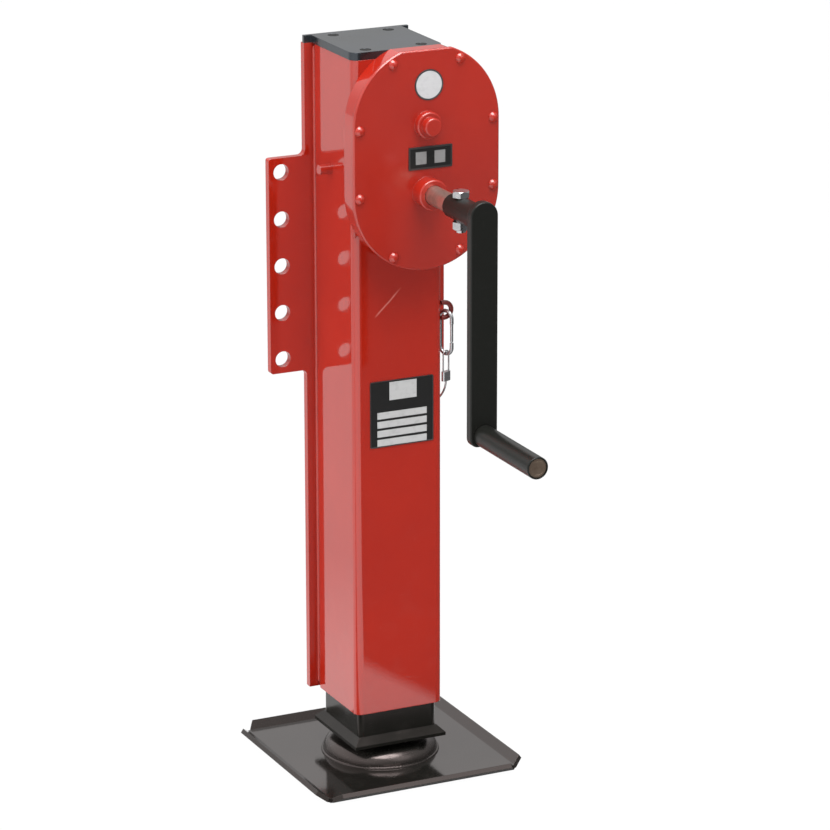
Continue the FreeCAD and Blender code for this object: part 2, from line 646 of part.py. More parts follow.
def make_block():
    """Bearing block pinned in the tube, with its bush, the upper thrust race and the balls."""
    middle = BLOCK_Z + BLOCK_T / 2
    bush_d = JOURNAL_D + 2 * BUSH_WALL
    block = square_bar(BORE_W - 2 * BLOCK_PLAY, max(OUTER_R - OUTER_WALL, 1.0), BLOCK_Z, BLOCK_TOP)
    block = block.cut(rod(vec(0, 0, BLOCK_Z), UP, bush_d, BLOCK_T))
    pins = []
    for side in (-1, 1):
        length = HALF + PIN_STUB - PIN_IN
        place = vec(side * PIN_IN, PIN_Y, middle)
        block = block.cut(rod(place, RIGHT * side, PIN_D + 2 * SEAT, HALF))
        pins.append(rod(place, RIGHT * side, PIN_D, length))
    bush = ring(vec(0, 0, BLOCK_Z), UP, bush_d - 2 * SEAT, JOURNAL_D + 2 * FIT, BLOCK_T)
    race = ring(vec(0, 0, RACE_Z), UP, RACE_D, JOURNAL_D + 2 * RUN, RACE_T)
    balls = []
    for i in range(BALL_COUNT):
        turn = 2 * math.pi * i / BALL_COUNT
        place = vec(BALL_RING * math.cos(turn), BALL_RING * math.sin(turn), RACE_Z - BALL_D / 2)
        balls.append(Part.makeSphere(BALL_D / 2 - BALL_PLAY, place))
    return {"bearing_block": block, "block_pins": Part.makeCompound(pins), "block_bush": bush,
            "thrust_race_top": race, "thrust_balls": Part.makeCompound(balls)}


def make_second_shaft():
    axis = (GEAR_X, SECOND_Z)
    rear = WALL_IN_Y - RUN
    shaft = rod(vec(GEAR_X, rear, SECOND_Z), FRONT, SECOND_SHAFT_D, rear - CASE_Y - RUN)
    nose_l = COVER_T + TOP_BOSS_H
    shaft = shaft.fuse(rod(vec(GEAR_X, CASE_Y + RUN, SECOND_Z), FRONT, SECOND_NOSE_D, nose_l))
    collar = rod(vec(GEAR_X, -HALF - CASE_BACK - RUN, SECOND_Z), FRONT, SECOND_SHAFT_D + 2 * BUSH_WALL,
                 -HALF - CASE_BACK - RUN - REAR_GEAR_Y - FACE_W)
    shaft = shaft.fuse(collar).removeSplitter()
    gear = spur_gear(FRONT_MODULE, SECOND_TEETH, -90 + 180.0 / SECOND_TEETH, *axis, FRONT_GEAR_Y, SECOND_SHAFT_D)
    for i in range(WEB_HOLES):
        turn = math.radians(360.0 * i / WEB_HOLES)
        place = vec(GEAR_X + WEB_RING * math.cos(turn), FRONT_GEAR_Y, SECOND_Z + WEB_RING * math.sin(turn))
        gear = gear.cut(rod(place, -FRONT, WEB_HOLE_D, FACE_W))
    pinion = spur_gear(REAR_MODULE, STEP_TEETH, STEP_ANGLE, *axis, REAR_GEAR_Y, SECOND_SHAFT_D)
    return {"second_shaft": shaft, "second_gear": gear, "second_pinion": pinion}


def make_bevel_shaft():
    front, apex = REAR_GEAR_Y, vec(0, 0, BEVEL_Z)
    toe = BEVEL_FACE / math.hypot(BEVEL_R, WHEEL_R)
    end = -WHEEL_R * (1 - toe) + GEAR_GAP
    shaft = rod(vec(0, end, BEVEL_Z), FRONT, BEVEL_SHAFT_D, end - front)
    stop = -HALF - CASE_BACK - RUN
    collar = rod(vec(0, stop, BEVEL_Z), FRONT, BEVEL_SHAFT_D + 2 * BUSH_WALL, stop - REAR_GEAR_Y - FACE_W)
    gear = spur_gear(REAR_MODULE, LAST_TEETH, STEP_ANGLE + 180 + 180.0 / LAST_TEETH, 0, BEVEL_Z, REAR_GEAR_Y, BEVEL_SHAFT_D)
    back = WALL_IN_Y + SLEEVE_FLANGE_T + RUN
    bevel = bevel_gear(BEVEL_TEETH, WHEEL_TEETH, 90, BEVEL_HUB_D, back, BEVEL_SHAFT_D)
    bevel.rotate(vec(0, 0, 0), RIGHT, -90)
    bevel.translate(apex)
    return {"bevel_shaft": shaft.fuse(collar).removeSplitter(), "last_gear": gear, "bevel_pinion": bevel}


def make_spindle():
    """Spindle with collar and journal, and the bevel wheel, spacer and nut on its head."""
    back = -BEVEL_R - WHEEL_DEPTH
    wheel = bevel_gear(WHEEL_TEETH, BEVEL_TEETH, -90 + 180.0 / WHEEL_TEETH, WHEEL_HUB_D, back, JOURNAL_D)
    wheel.translate(vec(0, 0, BEVEL_Z))
    wheel_low = BEVEL_Z + back
    seat = max(v.Point.z for v in wheel.Vertexes if math.hypot(v.Point.x, v.Point.y) < JOURNAL_D / 2 + 1)
    spacer_z = BLOCK_TOP + RUN
    spacer = ring(vec(0, 0, spacer_z), UP, WHEEL_HUB_D, JOURNAL_D + 2 * SEAT, wheel_low - spacer_z)
    nut = hexagon(vec(0, 0, seat), UP, LOCK_NUT_AF, LOCK_NUT_T)
    nut = nut.cut(rod(vec(0, 0, seat), UP, JOURNAL_D + 2 * SEAT, LOCK_NUT_T))
    spindle = rod(vec(0, 0, SPINDLE_LOW), UP, SPINDLE_D, COLLAR_Z - SPINDLE_LOW)
    spindle = spindle.fuse(rod(vec(0, 0, COLLAR_Z), UP, COLLAR_D, COLLAR_T))
    spindle = spindle.fuse(rod(vec(0, 0, COLLAR_Z), UP, JOURNAL_D, seat + LOCK_NUT_T - COLLAR_Z)).removeSplitter()
    race = ring(vec(0, 0, LOW_RACE_Z), UP, RACE_D, JOURNAL_D + 2 * SEAT, RACE_T)
    return {"spindle": spindle, "bevel_wheel": wheel, "spacer_sleeve": spacer, "lock_nut": nut,
            "thrust_race_low": race}


def make_crank():
    """Crank shaft with its pinion, the hub bolted on it, the arm, and the grip on its pin."""
    rear = WALL_IN_Y - RUN
    bore_end = HUB_Y - HUB_L + HUB_FLOOR
    shaft = rod(vec(GEAR_X, rear, CRANK_Z), FRONT, CRANK_SHAFT_D, rear - bore_end)
    stop = -HALF - CASE_BACK - RUN
    collar = rod(vec(GEAR_X, stop, CRANK_Z), FRONT, CRANK_SHAFT_D + 2 * BUSH_WALL, stop - FRONT_GEAR_Y - FACE_W)
    shaft = shaft.fuse(collar).removeSplitter()
    pinion = spur_gear(FRONT_MODULE, CRANK_TEETH, 90, GEAR_X, CRANK_Z, FRONT_GEAR_Y, CRANK_SHAFT_D)

    hub = rod(vec(GEAR_X, HUB_Y, CRANK_Z), FRONT, HUB_D, HUB_L)
    hub = hub.cut(rod(vec(GEAR_X, HUB_Y, CRANK_Z), FRONT, CRANK_SHAFT_D + 2 * SEAT, HUB_L - HUB_FLOOR))
    top = vec(GEAR_X, BOLT_Y, CRANK_Z + HUB_D / 2)
    through = rod(top, -UP, BOLT_D + 2 * SEAT, HUB_D)
    hub, shaft = hub.cut(through), shaft.cut(through)
    head = hexagon(top, UP, BOLT_AF, BOLT_HEAD_T)
    shank_l = HUB_D + BOLT_NUT_T + BOLT_TAIL
    bolt = head.fuse(rod(top, -UP, BOLT_D, shank_l)).removeSplitter()
    under = top - UP * HUB_D
    nut = hexagon(under, -UP, BOLT_AF, BOLT_NUT_T).cut(rod(under, -UP, BOLT_D + 2 * SEAT, BOLT_NUT_T))

    half, back = ARM_W / 2, ARM_Y - ARM_T
    arm = box(GEAR_X - half, GEAR_X + half, back, ARM_Y, HANDLE_Z - ARM_TAIL, CRANK_Z + ARM_RISE)
    low_edges = [e for e in arm.Edges if e.BoundBox.ZMax < HANDLE_Z and e.BoundBox.YLength > ARM_T / 2]
    arm = arm.makeFillet(ARM_CORNER, low_edges)
    arm = arm.fuse(rod(vec(GEAR_X, back, CRANK_Z + ARM_RISE), -FRONT, ARM_W, ARM_T)).removeSplitter()
    rim = [e for e in arm.Edges if e.BoundBox.YLength < 1e-6]
    arm = arm.makeFillet(ARM_EDGE, rim)
    arm = arm.cut(rod(vec(GEAR_X, back, HANDLE_Z), -FRONT, GRIP_PIN_D + 2 * SEAT, ARM_T))

    end = GRIP_Y - GRIP_L
    pin = rod(vec(GEAR_X, ARM_Y, HANDLE_Z), FRONT, GRIP_PIN_D, ARM_Y - end - PIN_NOSE)
    deep = CLIP_DEEP + CLIP_T + RUN
    grip = rod(vec(GEAR_X, GRIP_Y, HANDLE_Z), FRONT, GRIP_D, GRIP_L)
    grip = grip.makeFillet(GRIP_EDGE, [e for e in grip.Edges if e.BoundBox.YLength < 1e-6])
    grip = grip.cut(rod(vec(GEAR_X, GRIP_Y, HANDLE_Z), FRONT, GRIP_PIN_D + 2 * GRIP_FIT, GRIP_L))
    grip = grip.cut(rod(vec(GEAR_X, end, HANDLE_Z), -FRONT, CLIP_D + 2 * RUN, deep))
    clip = ring(vec(GEAR_X, end + CLIP_DEEP, HANDLE_Z), -FRONT, CLIP_D, GRIP_PIN_D + 2 * SEAT, CLIP_T)
    return {"crank_shaft": shaft, "crank_pinion": pinion, "crank_hub": hub, "hub_bolt": bolt, "hub_nut": nut,
            "crank_arm": arm, "grip_pin": pin, "grip_clip": clip, "grip_sleeve": grip}


def make_hook():
    """Eye on the tube's right side, the snap hook hanging in it, and the lanyard to its anchor."""
    bow = EYE_SPAN / 2
    low = [vec(HALF, EYE_Y, EYE_LOW), vec(HALF + EYE_OUT, EYE_Y, EYE_LOW)]
    high = [p + UP * EYE_SPAN for p in low]
    peak = vec(HALF + EYE_OUT + bow, EYE_Y, EYE_LOW + bow)
    eye = wire_solid(Part.Wire([Part.LineSegment(low[0], low[1]).toShape(), Part.Arc(low[1], peak, high[1]).toShape(),
                                Part.LineSegment(high[1], high[0]).toShape()]), EYE_WIRE)

    slip = HOOK_X - HALF - EYE_OUT
    rest = EYE_LOW + bow - math.sqrt(bow ** 2 - slip ** 2)
    lean = math.cos(math.asin(slip / bow))
    apex = rest + (EYE_WIRE + HOOK_WIRE) / 2 / lean + HOOK_PLAY
    turn = math.radians(HOOK_TURN)
    side = vec(math.sin(turn), -math.cos(turn), 0)
    flat = vec(math.cos(turn), math.sin(turn), 0)
    axis = vec(HOOK_X, EYE_Y, 0)
    arc = HOOK_W / 2
    top, bottom = apex - arc, apex - (HOOK_H - HOOK_WIRE) + arc

    def at(across, z):
        return axis + side * across + UP * z

    gate_low, gate_high = bottom + GATE_LOW - arc, bottom + GATE_HIGH - arc
    path = [Part.LineSegment(at(arc, gate_high), at(arc, top)), Part.Arc(at(arc, top), at(0, apex), at(-arc, top)),
            Part.LineSegment(at(-arc, top), at(-arc, bottom)),
            Part.Arc(at(-arc, bottom), at(0, bottom - arc), at(arc, bottom)),
            Part.LineSegment(at(arc, bottom), at(arc, gate_low))]
    body = wire_solid(Part.Wire([s.toShape() for s in path]), HOOK_WIRE)
    pivot = at(arc, gate_low + GATE_GAP + GATE_D / 2)
    gate = Part.makeSphere(GATE_D / 2, pivot).fuse(rod(pivot, UP, GATE_D, gate_high - GATE_GAP - pivot.z))
    gate = gate.removeSplitter()

    loop_top = bottom - arc + (HOOK_WIRE + LOOP_WIRE) / 2 + LOOP_PLAY
    bend = loop_top - LOOP_R
    ends = [axis + flat * s * LOOP_R + UP * bend for s in (-1, 1)]
    crimp_top = bend - LOOP_DROP
    feet = [e - UP * LOOP_DROP for e in ends]
    loop = wire_solid(Part.Wire([Part.LineSegment(feet[0], ends[0]).toShape(),
                                 Part.Arc(ends[0], axis + UP * loop_top, ends[1]).toShape(),
                                 Part.LineSegment(ends[1], feet[1]).toShape()]), LOOP_WIRE)
    half_w, half_t = FERRULE_W / 2, FERRULE_T / 2
    ferrule = rounded(box(-half_w, half_w, -half_t, half_t, -FERRULE_L, 0), UP, half_t * 0.9)
    ferrule.rotate(vec(0, 0, 0), UP, HOOK_TURN)
    ferrule.translate(axis + UP * crimp_top)

    wire_top = crimp_top - FERRULE_L
    entry = vec(HALF + ANCHOR_H / 2, ANCHOR_Y - ANCHOR_W / 2, ANCHOR_Z)
    route = [vec(HOOK_X, EYE_Y, wire_top), vec(HOOK_X, EYE_Y, wire_top - LANYARD_RUN),
             entry + FRONT * ANCHOR_RUN, entry]
    lanyard = wire_solid(bent_path(route), LANYARD_D)
    half_a = ANCHOR_W / 2
    anchor = box(HALF, HALF + ANCHOR_H, ANCHOR_Y - half_a, ANCHOR_Y + half_a, ANCHOR_Z - half_a, ANCHOR_Z + half_a)
    outer = [e for e in anchor.Edges if abs(e.BoundBox.XMin - HALF - ANCHOR_H) < 1e-6]
    anchor = anchor.makeFillet(ANCHOR_EDGE, outer)
    return {"hook_eye": eye, "hook_body": body, "hook_gate": gate, "hook_loop": loop, "hook_ferrule": ferrule,
            "lanyard": lanyard, "lanyard_anchor": anchor}


def build():
    nodes = {"outer_tube": make_tube(), "mounting_plate": make_mounting_plate()}
    for maker in (make_lid, make_case, make_block, make_crank, make_second_shaft, make_bevel_shaft, make_spindle,
                  make_leg, make_foot, make_hook):
        nodes.update(maker())
    return nodes


os.makedirs("parts", exist_ok=True)
for name, shape in build().items():
    shape.exportStep("parts/" + name + ".step")
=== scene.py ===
import math

import bmesh
import bpy
from mathutils import Matrix, Vector


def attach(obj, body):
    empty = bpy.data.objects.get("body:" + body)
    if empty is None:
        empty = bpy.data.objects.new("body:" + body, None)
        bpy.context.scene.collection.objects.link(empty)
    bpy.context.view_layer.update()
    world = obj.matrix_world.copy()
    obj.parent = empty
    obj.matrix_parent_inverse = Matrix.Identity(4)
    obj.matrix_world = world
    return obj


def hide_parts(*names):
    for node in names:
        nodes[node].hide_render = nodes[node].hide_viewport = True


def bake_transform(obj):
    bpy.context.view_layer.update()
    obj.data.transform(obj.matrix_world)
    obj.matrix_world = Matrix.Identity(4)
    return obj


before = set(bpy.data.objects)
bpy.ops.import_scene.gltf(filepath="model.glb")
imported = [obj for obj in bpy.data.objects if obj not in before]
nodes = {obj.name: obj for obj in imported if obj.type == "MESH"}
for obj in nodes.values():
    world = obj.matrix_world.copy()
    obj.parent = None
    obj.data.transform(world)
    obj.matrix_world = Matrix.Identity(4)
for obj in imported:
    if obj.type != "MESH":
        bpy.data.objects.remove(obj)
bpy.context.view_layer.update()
MM = 0.001

# Camera, fitted to the photograph
CAMERA_PLACE = (-1.7573, -3.7581, 1.6593)
CAMERA_YAW = math.radians(25.61)
CAMERA_PITCH = math.radians(17.176)
CAMERA_ROLL = math.radians(0.08)
FOCAL_PIXELS = 4162.9
FRAME_PIXELS = 830
SENSOR = 36.0

# Colours, linear
RED = (0.390, 0.016, 0.006)
RED_DEEP = (0.350, 0.013, 0.005)
RED_DUSTY = (0.390, 0.055, 0.042)
# Painted highlight: the glint of the scratch on the tube's front
RED_SCRATCH_GLINT = (0.640, 0.190, 0.160)
RED_DARK = (0.085, 0.010, 0.008)
BLACK_LID = (0.012, 0.014, 0.019)
BLACK_CRANK = (0.009, 0.0095, 0.008)
BLACK_FOOT = (0.016, 0.0135, 0.012)
BLACK_DUSTY = (0.040, 0.036, 0.033)
OXIDE = (0.006, 0.006, 0.006)
STEEL = (0.55, 0.42, 0.32)
STEEL_DARK = (0.20, 0.14, 0.105)
STEEL_PALE = (0.72, 0.60, 0.52)
STEEL_BROWN = (0.34, 0.245, 0.20)
GEAR_GREY = (0.32, 0.31, 0.30)
GEAR_OIL = (0.15, 0.13, 0.10)
ZINC = (0.60, 0.60, 0.61)
ZINC_DULL = (0.42, 0.42, 0.44)
BRONZE = (0.52, 0.34, 0.13)
BRONZE_DULL = (0.34, 0.21, 0.09)
IVORY = (0.55, 0.53, 0.47)
LABEL_BLACK = (0.012, 0.012, 0.012)
LABEL_LIGHT = (0.50, 0.50, 0.50)
LABEL_GREY = (0.26, 0.26, 0.26)
SIGN_PALE = (0.56, 0.56, 0.57)
SIGN_RIM = (0.045, 0.045, 0.047)
RIM_GREY = (0.16, 0.155, 0.155)
FLOOR_PALE = (0.86, 0.86, 0.86)
PALE_BLUE = (0.80, 0.90, 1.0)
PALE_WARM = (1.0, 0.82, 0.79)
WHITE = (1.0, 1.0, 1.0)

# Studio levels, where 1 is white, for the camera, for diffuse light and for reflections
BACKDROP = 1.02
FLOOR_GLOW = 0.97
SKY_LEVEL = 0.34
SIDE_LEVEL = 2.6
FRONT_LEVEL = 0.13
SHEET_LEVEL = 0.85
SHEET_NEAR = 0.35

# Where those levels change: parts of a unit direction for the sky, metres for the floor
SIDE_EDGE = -0.55
SIDE_FULL = -0.95
SKY_LOW = 0.12
SKY_HIGH = 0.42
STUDIO_WAY = (-0.80, 0.60)
STUDIO_DARK = -0.5
STUDIO_LIGHT = 0.3
SHEET_WAY = (0.98, -0.20)
SHEET_DARK = 0.178
SHEET_LIGHT = 0.154
NEAR_Y = -0.12
NEAR_HALF = 0.05
NEAR_FADE = 0.04
SHEET_FAR_Y = 0.60
SHEET_CLOSE_Y = 0.25
FLOOR_HALF = 9.0

# Lamps: name, power in watts, place, aim and diameter in metres
LAMPS = [
    ("key_light", 16.0, (1.2, -2.6, 2.6), (0.0, 0.0, 0.45), 2.6),
    ("top_light", 114.0, (-0.1, -0.8, 3.1), (0.0, 0.0, 0.5), 2.4),
]

# Places in millimetres, as in the part's source
TUBE_HALF = 50.0
TUBE_LOW = 67.0
TUBE_TOP = 768.0
COVER_FACE = -77.0
GEAR_X = 19.0
CRANK_Z = 632.0
HUB_END_Y = -198.0
LID_TOP = 776.0
LID_SCREWS = [(x, y) for x in (-31.0, 31.0) for y in (-39.0, 39.0)]

# Ends of the scratch on the tube's front, whose glint is painted in as a light line, in millimetres
SCRATCH_LOW = (-27.6, -TUBE_HALF, 498.2)
SCRATCH_HIGH = (2.9, -TUBE_HALF, 527.5)

# Lanyard: control points and diameter in millimetres, length in metres
LANYARD_ROUTE = [
    (55.6, -46.0, 419.944),
    (55.6, -46.0, 411.944),
    (55.0, -26.0, 392.0),
    (55.0, -12.0, 392.0),
]
LANYARD_D = 2.0

# Sign, label and type plate in millimetres
PLATE_THICK = 0.9
FIELD_THICK = 0.3
FIELD_SINK = 0.65
GROOVE = 0.15
PLATE_SINK = 0.25
SIGN_PLACE = (21.2, COVER_FACE, 742.6)
SIGN_R = 15.8
SIGN_THICK = 0.7
SIGN_RIM_W = 1.4
SIGN_SINK = 0.2
LABEL_PLACE = (22.7, COVER_FACE, 667.8)
LABEL_SIZE = (48.6, 23.4)
LABEL_CORNER = 1.2
LABEL_RIM = 1.8
LABEL_FIELD = (12.0, 13.0)
LABEL_FIELD_X = 10.5
PLATE_PLACE = (2.9, -TUBE_HALF, 394.4)
PLATE_SIZE = (72.0, 71.0)
PLATE_CORNER = 1.5
PLATE_RIM = 0.9
MARK_OFFSET = (1.3, 23.8)
MARK_FIELD = (31.0, 19.4)
ROW_OFFSET = (0.2, -1.6)
ROW_FIELD = (56.4, 7.2)
ROW_PITCH = 9.7
ROWS = 4

# Weld beads in millimetres: rings give their radius, the bead's radius and the number of ripples
BACK_WELD = (48.3, 48.6)
BACK_WELD_R = 2.3
BACK_WELD_Z = (TUBE_LOW + 4.0, TUBE_TOP - 3.0)
FRONT_WELD = (48.6, -48.4)
FRONT_WELD_R = 3.0
FRONT_WELD_Z = (585.0, 735.0)
WELD_PITCH = 3.0
BEAD_THIN = 0.86
BEAD_RIPPLE = 0.16
HUB_WELD = (12.7, 1.8, 30)
SOCKET_WELD = (61.0, 2.0, 100)
SOCKET_WELD_Z = 5.2

# Lid bolt heads in millimetres
HEX_R = 3.2
HEX_DEEP = 2.0
HEAD_R = 5.0
HEAD_EDGE = 0.5
HEAD_FLARE = 1.1
HEAD_DEEP = 1.7

# Wear at which scuffs reach their full depth
FULL_WEAR = 0.2

SMOOTH_ANGLE = math.radians(38)
FRONT_FACING = Matrix.Rotation(math.pi / 2, 4, "X")
UP = (0.0, 0.0, 1.0)
FRONT = (0.0, -1.0, 0.0)
BACK = (0.0, 1.0, 0.0)
NO_STRETCH = (1.0, 1.0, 1.0)
NO_TURN = (0.0, 0.0, 0.0)


class Value:
    """A number on a shader socket, whose arithmetic adds Math nodes."""

    def __init__(self, look, socket):
        self.look = look
        self.socket = socket

    def math(self, operation, first, second):
        return self.look.node("ShaderNodeMath", {"operation": operation}, {0: first, 1: second})

    def __add__(self, other):
        return self.math("ADD", self, other)

    def __sub__(self, other):
        return self.math("SUBTRACT", self, other)

    def __rsub__(self, other):
        return self.math("SUBTRACT", other, self)

    def __mul__(self, other):
        return self.math("MULTIPLY", self, other)

    def size(self):
        return self.math("ABSOLUTE", self, 0.0)

    __radd__ = __add__
    __rmul__ = __mul__


class Wiring:
    """Adds nodes to a shader tree."""

    def __init__(self, tree):
        self.tree = tree
        tree.nodes.clear()

    def feed(self, socket, value):
        if isinstance(value, Value):
            self.tree.links.new(value.socket, socket)
        elif isinstance(value, tuple) and socket.type == "RGBA":
            socket.default_value = (*value, 1.0)
        else:
            socket.default_value = value

    def node(self, kind, settings=None, inputs=None, output=0):
        made = self.tree.nodes.new(kind)
        for key, setting in (settings or {}).items():
            setattr(made, key, setting)
        for key, value in (inputs or {}).items():
            self.feed(made.inputs[key], value)
        return None if output is None else Value(self, made.outputs[output])

    def ramp(self, value, low, high):
        """Rises from 0 at low to 1 at high, and stays there."""
        return self.node("ShaderNodeMapRange", None, {0: value, 1: low, 2: high})

    def mix(self, factor, first, second):
        """Colour that goes from the first to the second as the factor goes from 0 to 1."""
        inputs = {0: factor, 6: first, 7: second}
        return self.node("ShaderNodeMix", {"data_type": "RGBA"}, inputs, 2)

    def part_of(self, vector, axis):
        return self.node("ShaderNodeSeparateXYZ", None, {0: vector}, axis)

    def mixed_shader(self, factor, first, second):
        return self.node("ShaderNodeMixShader", None, {0: factor, 1: first, 2: second})


class Look(Wiring):
    """A material under construction: one Principled shader and the nodes that feed it."""

    def __init__(self, name):
        self.material = bpy.data.materials.new(name)
        self.material.use_nodes = True
        super().__init__(self.material.node_tree)
        self.shader = self.tree.nodes.new("ShaderNodeBsdfPrincipled")
        output = self.tree.nodes.new("ShaderNodeOutputMaterial")
        self.tree.links.new(self.shader.outputs[0], output.inputs[0])

    def put(self, **sockets):
        for name, value in sockets.items():
            self.feed(self.shader.inputs[name.replace("_", " ")], value)

    def place(self, stretch=NO_STRETCH, turn=NO_TURN):
        point = self.node("ShaderNodeTexCoord", output="Object")
        inputs = {"Vector": point, "Rotation": turn, "Scale": stretch}
        return self.node("ShaderNodeMapping", None, inputs)

    def noise(self, scale, detail=3.0, stretch=NO_STRETCH, turn=NO_TURN):
        inputs = {"Vector": self.place(stretch, turn), "Scale": scale, "Detail": detail}
        return self.node("ShaderNodeTexNoise", None, inputs)

    def cells(self, scale):
        inputs = {"Vector": self.place(), "Scale": scale}
        return self.node("ShaderNodeTexVoronoi", None, inputs, "Color")

    def distance(self, vector, direction):
        inputs = {0: vector, 1: direction}
        return self.node("ShaderNodeVectorMath", {"operation": "DOT_PRODUCT"}, inputs, "Value")

    def relief(self, height, depth, edge=0.0):
        """Bump of a height in metres, and edges rounded by a radius in metres."""
        inputs = {"Height": height, "Strength": 1.0, "Distance": depth}
        if edge:
            inputs["Normal"] = self.node("ShaderNodeBevel", {"samples": 4}, {"Radius": edge})
        self.put(Normal=self.node("ShaderNodeBump", None, inputs))


def scratch_glint_mask(look):
    """One straight scratch on the tube's front, thin at both ends, with its glint painted into the colour
    as a light line.
    """
    low, high = Vector(SCRATCH_LOW) * MM, Vector(SCRATCH_HIGH) * MM
    length = (high - low).length
    along = (high - low).normalized()
    across = along.cross(Vector(BACK))
    point = look.node("ShaderNodeTexCoord", output="Object")
    shift = look.node("ShaderNodeVectorMath", {"operation": "SUBTRACT"}, {0: point, 1: tuple(low)})
    run = look.distance(shift, tuple(along))
    off = look.distance(shift, tuple(across))
    depth = look.distance(shift, BACK)
    wobble = (look.noise(70.0, 1.0) - 0.5) * 0.0012
    width = look.ramp((off + wobble).size(), 0.0012, 0.0003)
    ends = look.ramp(run, 0.0, 0.006) * look.ramp(run, length, length - 0.012)
    return width * ends * look.ramp(depth.size(), 0.002, 0.001)


def gloss_paint(name, colour, deep, dusty, shine, wear, coat=0.0, tint=WHITE, level=0.5, with_scratch_glint=False):
    """Stoved paint: orange peel, faint tone changes, thin scuffs and a little dust near the ground.

    shine is the roughness, level the strength of its reflections, and wear how much the scuffs show.
    """
    look = Look(name)
    tone = look.noise(9.0, 4.0)
    peel = look.noise(420.0, 2.0)
    scuff_a = look.noise(60.0, 2.0, (1.0, 1.0, 14.0), (0.0, 0.5, 0.3))
    scuff_b = look.noise(75.0, 2.0, (12.0, 12.0, 1.0), (0.25, 0.0, 0.4))
    scuffs = look.ramp(scuff_a, 0.66, 0.74) * 0.5 + look.ramp(scuff_b, 0.67, 0.75) * 0.5
    dust = look.ramp(look.noise(38.0, 6.0), 0.52, 0.80)
    low = look.ramp(look.part_of(look.place(), 2), 0.30, 0.0)
    colour = look.mix(look.ramp(tone, 0.35, 0.70), colour, deep)
    colour = look.mix(scuffs * wear + dust * low * 0.25, colour, dusty)
    # A real scratch whose glint is painted into the colour as a light line: a painted highlight
    if with_scratch_glint:
        colour = look.mix(scratch_glint_mask(look) * 0.75, colour, RED_SCRATCH_GLINT)
    look.put(Base_Color=colour, Coat_Weight=coat, Coat_Roughness=0.03)
    look.put(Specular_Tint=tint, Specular_IOR_Level=level)
    depth = min(1.0, wear / FULL_WEAR)
    cloudy = look.ramp(tone, 0.3, 0.8) * 0.05
    look.put(Roughness=shine + cloudy + scuffs * (0.16 * depth) + dust * 0.05)
    look.relief(peel * 0.6 + scuffs * (-0.5 * depth) + tone * 1.5, 0.00004, 0.0008)
    return look.material


def turned_steel(name, axis, bright, dark, tarnish):
    """Bare turned steel: fine tool rings round an axis, brown tarnish and small pits."""
    look = Look(name)
    stretch = tuple(1.0 if i == axis else 0.02 for i in range(3))
    rings = look.noise(1800.0, 3.0, stretch)
    stain = look.ramp(look.noise(55.0, 6.0), 0.38, 0.66)
    pits = look.ramp(look.noise(900.0, 2.0), 0.62, 0.70)
    colour = look.mix(stain * tarnish, bright, dark)
    look.put(Base_Color=look.mix(pits * 0.4, colour, dark), Metallic=1.0)
    look.put(Roughness=0.30 + stain * 0.16 + rings * 0.10)
    look.relief(rings - pits * 0.8, 0.00004, 0.0005)
    return look.material


def cut_gear_steel(name):
    """Milled and oiled gear steel: cutter streaks and darker patches of oil."""
    look = Look(name)
    streaks = look.noise(900.0, 2.0, (1.0, 0.04, 1.0))
    oil = look.ramp(look.noise(70.0, 5.0), 0.42, 0.60)
    look.put(Base_Color=look.mix(oil * 0.7, GEAR_GREY, GEAR_OIL), Metallic=1.0)
    look.put(Roughness=0.42 + streaks * 0.12 - oil * 0.18)
    look.relief(streaks, 0.00004, 0.0004)
    return look.material


def zinc_plate(name):
    """Zinc plating: fine crystal cells and dull patches."""
    look = Look(name)
    grain = look.node("ShaderNodeSeparateColor", None, {0: look.cells(900.0)})
    dull = look.ramp(look.noise(130.0, 4.0), 0.40, 0.64)
    colour = look.mix(grain * 0.35 + dull * 0.45, ZINC, ZINC_DULL)
    look.put(Base_Color=colour, Metallic=1.0, Roughness=0.20 + grain * 0.10 + dull * 0.14)
    look.relief(grain * 0.4 + dull * 0.6, 0.00003, 0.0003)
    return look.material


def turned_bronze(name):
    """Bearing bronze with brown stains and a fine grain."""
    look = Look(name)
    stain = look.ramp(look.noise(80.0, 5.0), 0.40, 0.66)
    grain = look.noise(1500.0, 2.0)
    look.put(Base_Color=look.mix(stain, BRONZE, BRONZE_DULL), Metallic=1.0)
    look.put(Roughness=0.30 + stain * 0.18)
    look.relief(grain, 0.00003, 0.0004)
    return look.material


def moulded_plastic(name):
    """Ivory moulded plastic with a fine grain."""
    look = Look(name)
    grain = look.noise(1300.0, 3.0)
    tone = look.noise(60.0, 3.0)
    look.put(Base_Color=look.mix(tone, IVORY, tuple(c * 0.8 for c in IVORY)))
    look.put(Roughness=0.45 + grain * 0.15)
    look.relief(grain, 0.00004, 0.0004)
    return look.material


def printed_face(name, colour, metallic, shine):
    """Printed or anodised sheet for the small plates, with brushed grain and faint handling marks."""
    look = Look(name)
    brushed = look.noise(900.0, 2.0, (0.03, 1.0, 1.0))
    marks = look.ramp(look.noise(140.0, 5.0), 0.50, 0.75)
    shade = tuple(c * 0.72 for c in colour)
    look.put(Base_Color=look.mix(brushed * 0.4 + marks * 0.5, colour, shade), Metallic=metallic)
    look.put(Roughness=shine + marks * 0.15 + brushed * 0.08)
    look.relief(brushed, 0.00002)
    return look.material


def seen_rays(wiring):
    """Masks for camera rays, and for every ray that shows the studio: camera, mirror and glass rays."""
    camera = wiring.node("ShaderNodeLightPath", output="Is Camera Ray")
    mirror = wiring.node("ShaderNodeLightPath", output="Is Glossy Ray")
    glass = wiring.node("ShaderNodeLightPath", output="Is Transmission Ray")
    return camera, wiring.ramp(camera + mirror + glass, 0.0, 1.0)


def level_distance(wiring, place, way):
    """How far a place lies along a level direction."""
    return wiring.part_of(place, 0) * way[0] + wiring.part_of(place, 1) * way[1]


